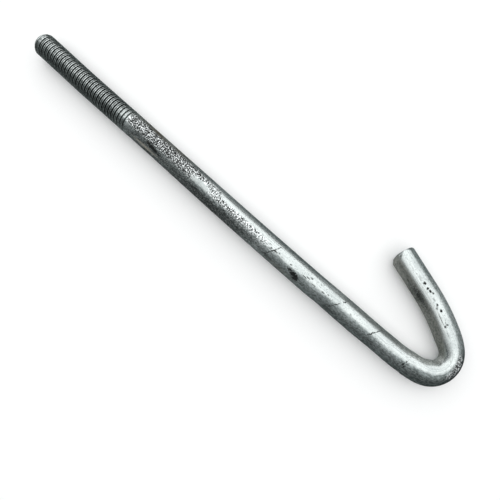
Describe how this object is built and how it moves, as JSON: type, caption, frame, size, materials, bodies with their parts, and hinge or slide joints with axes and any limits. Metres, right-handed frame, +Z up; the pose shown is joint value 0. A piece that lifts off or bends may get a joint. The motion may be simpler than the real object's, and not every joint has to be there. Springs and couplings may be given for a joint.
{
  "type": "hook bolt",
  "caption": "Galvanised steel hook bolt: a round rod threaded at one end and bent into a tight J hook at the other.",
  "frame": {"origin": "centre of the flat end face of the thread, on the rod's axis", "axes": "+X along the straight shank from the threaded end to the hook, +Y in the plane of the hook from the shank towards its leg, +Z up, square to the hook's plane; the bolt lies on its side"},
  "size_m": [0.13, 0.025, 0.006],
  "materials": {
    "zinc": "satin"
  },
  "bodies": {
    "root": {"hook_bolt": "zinc"}
  },
  "joints": []
}
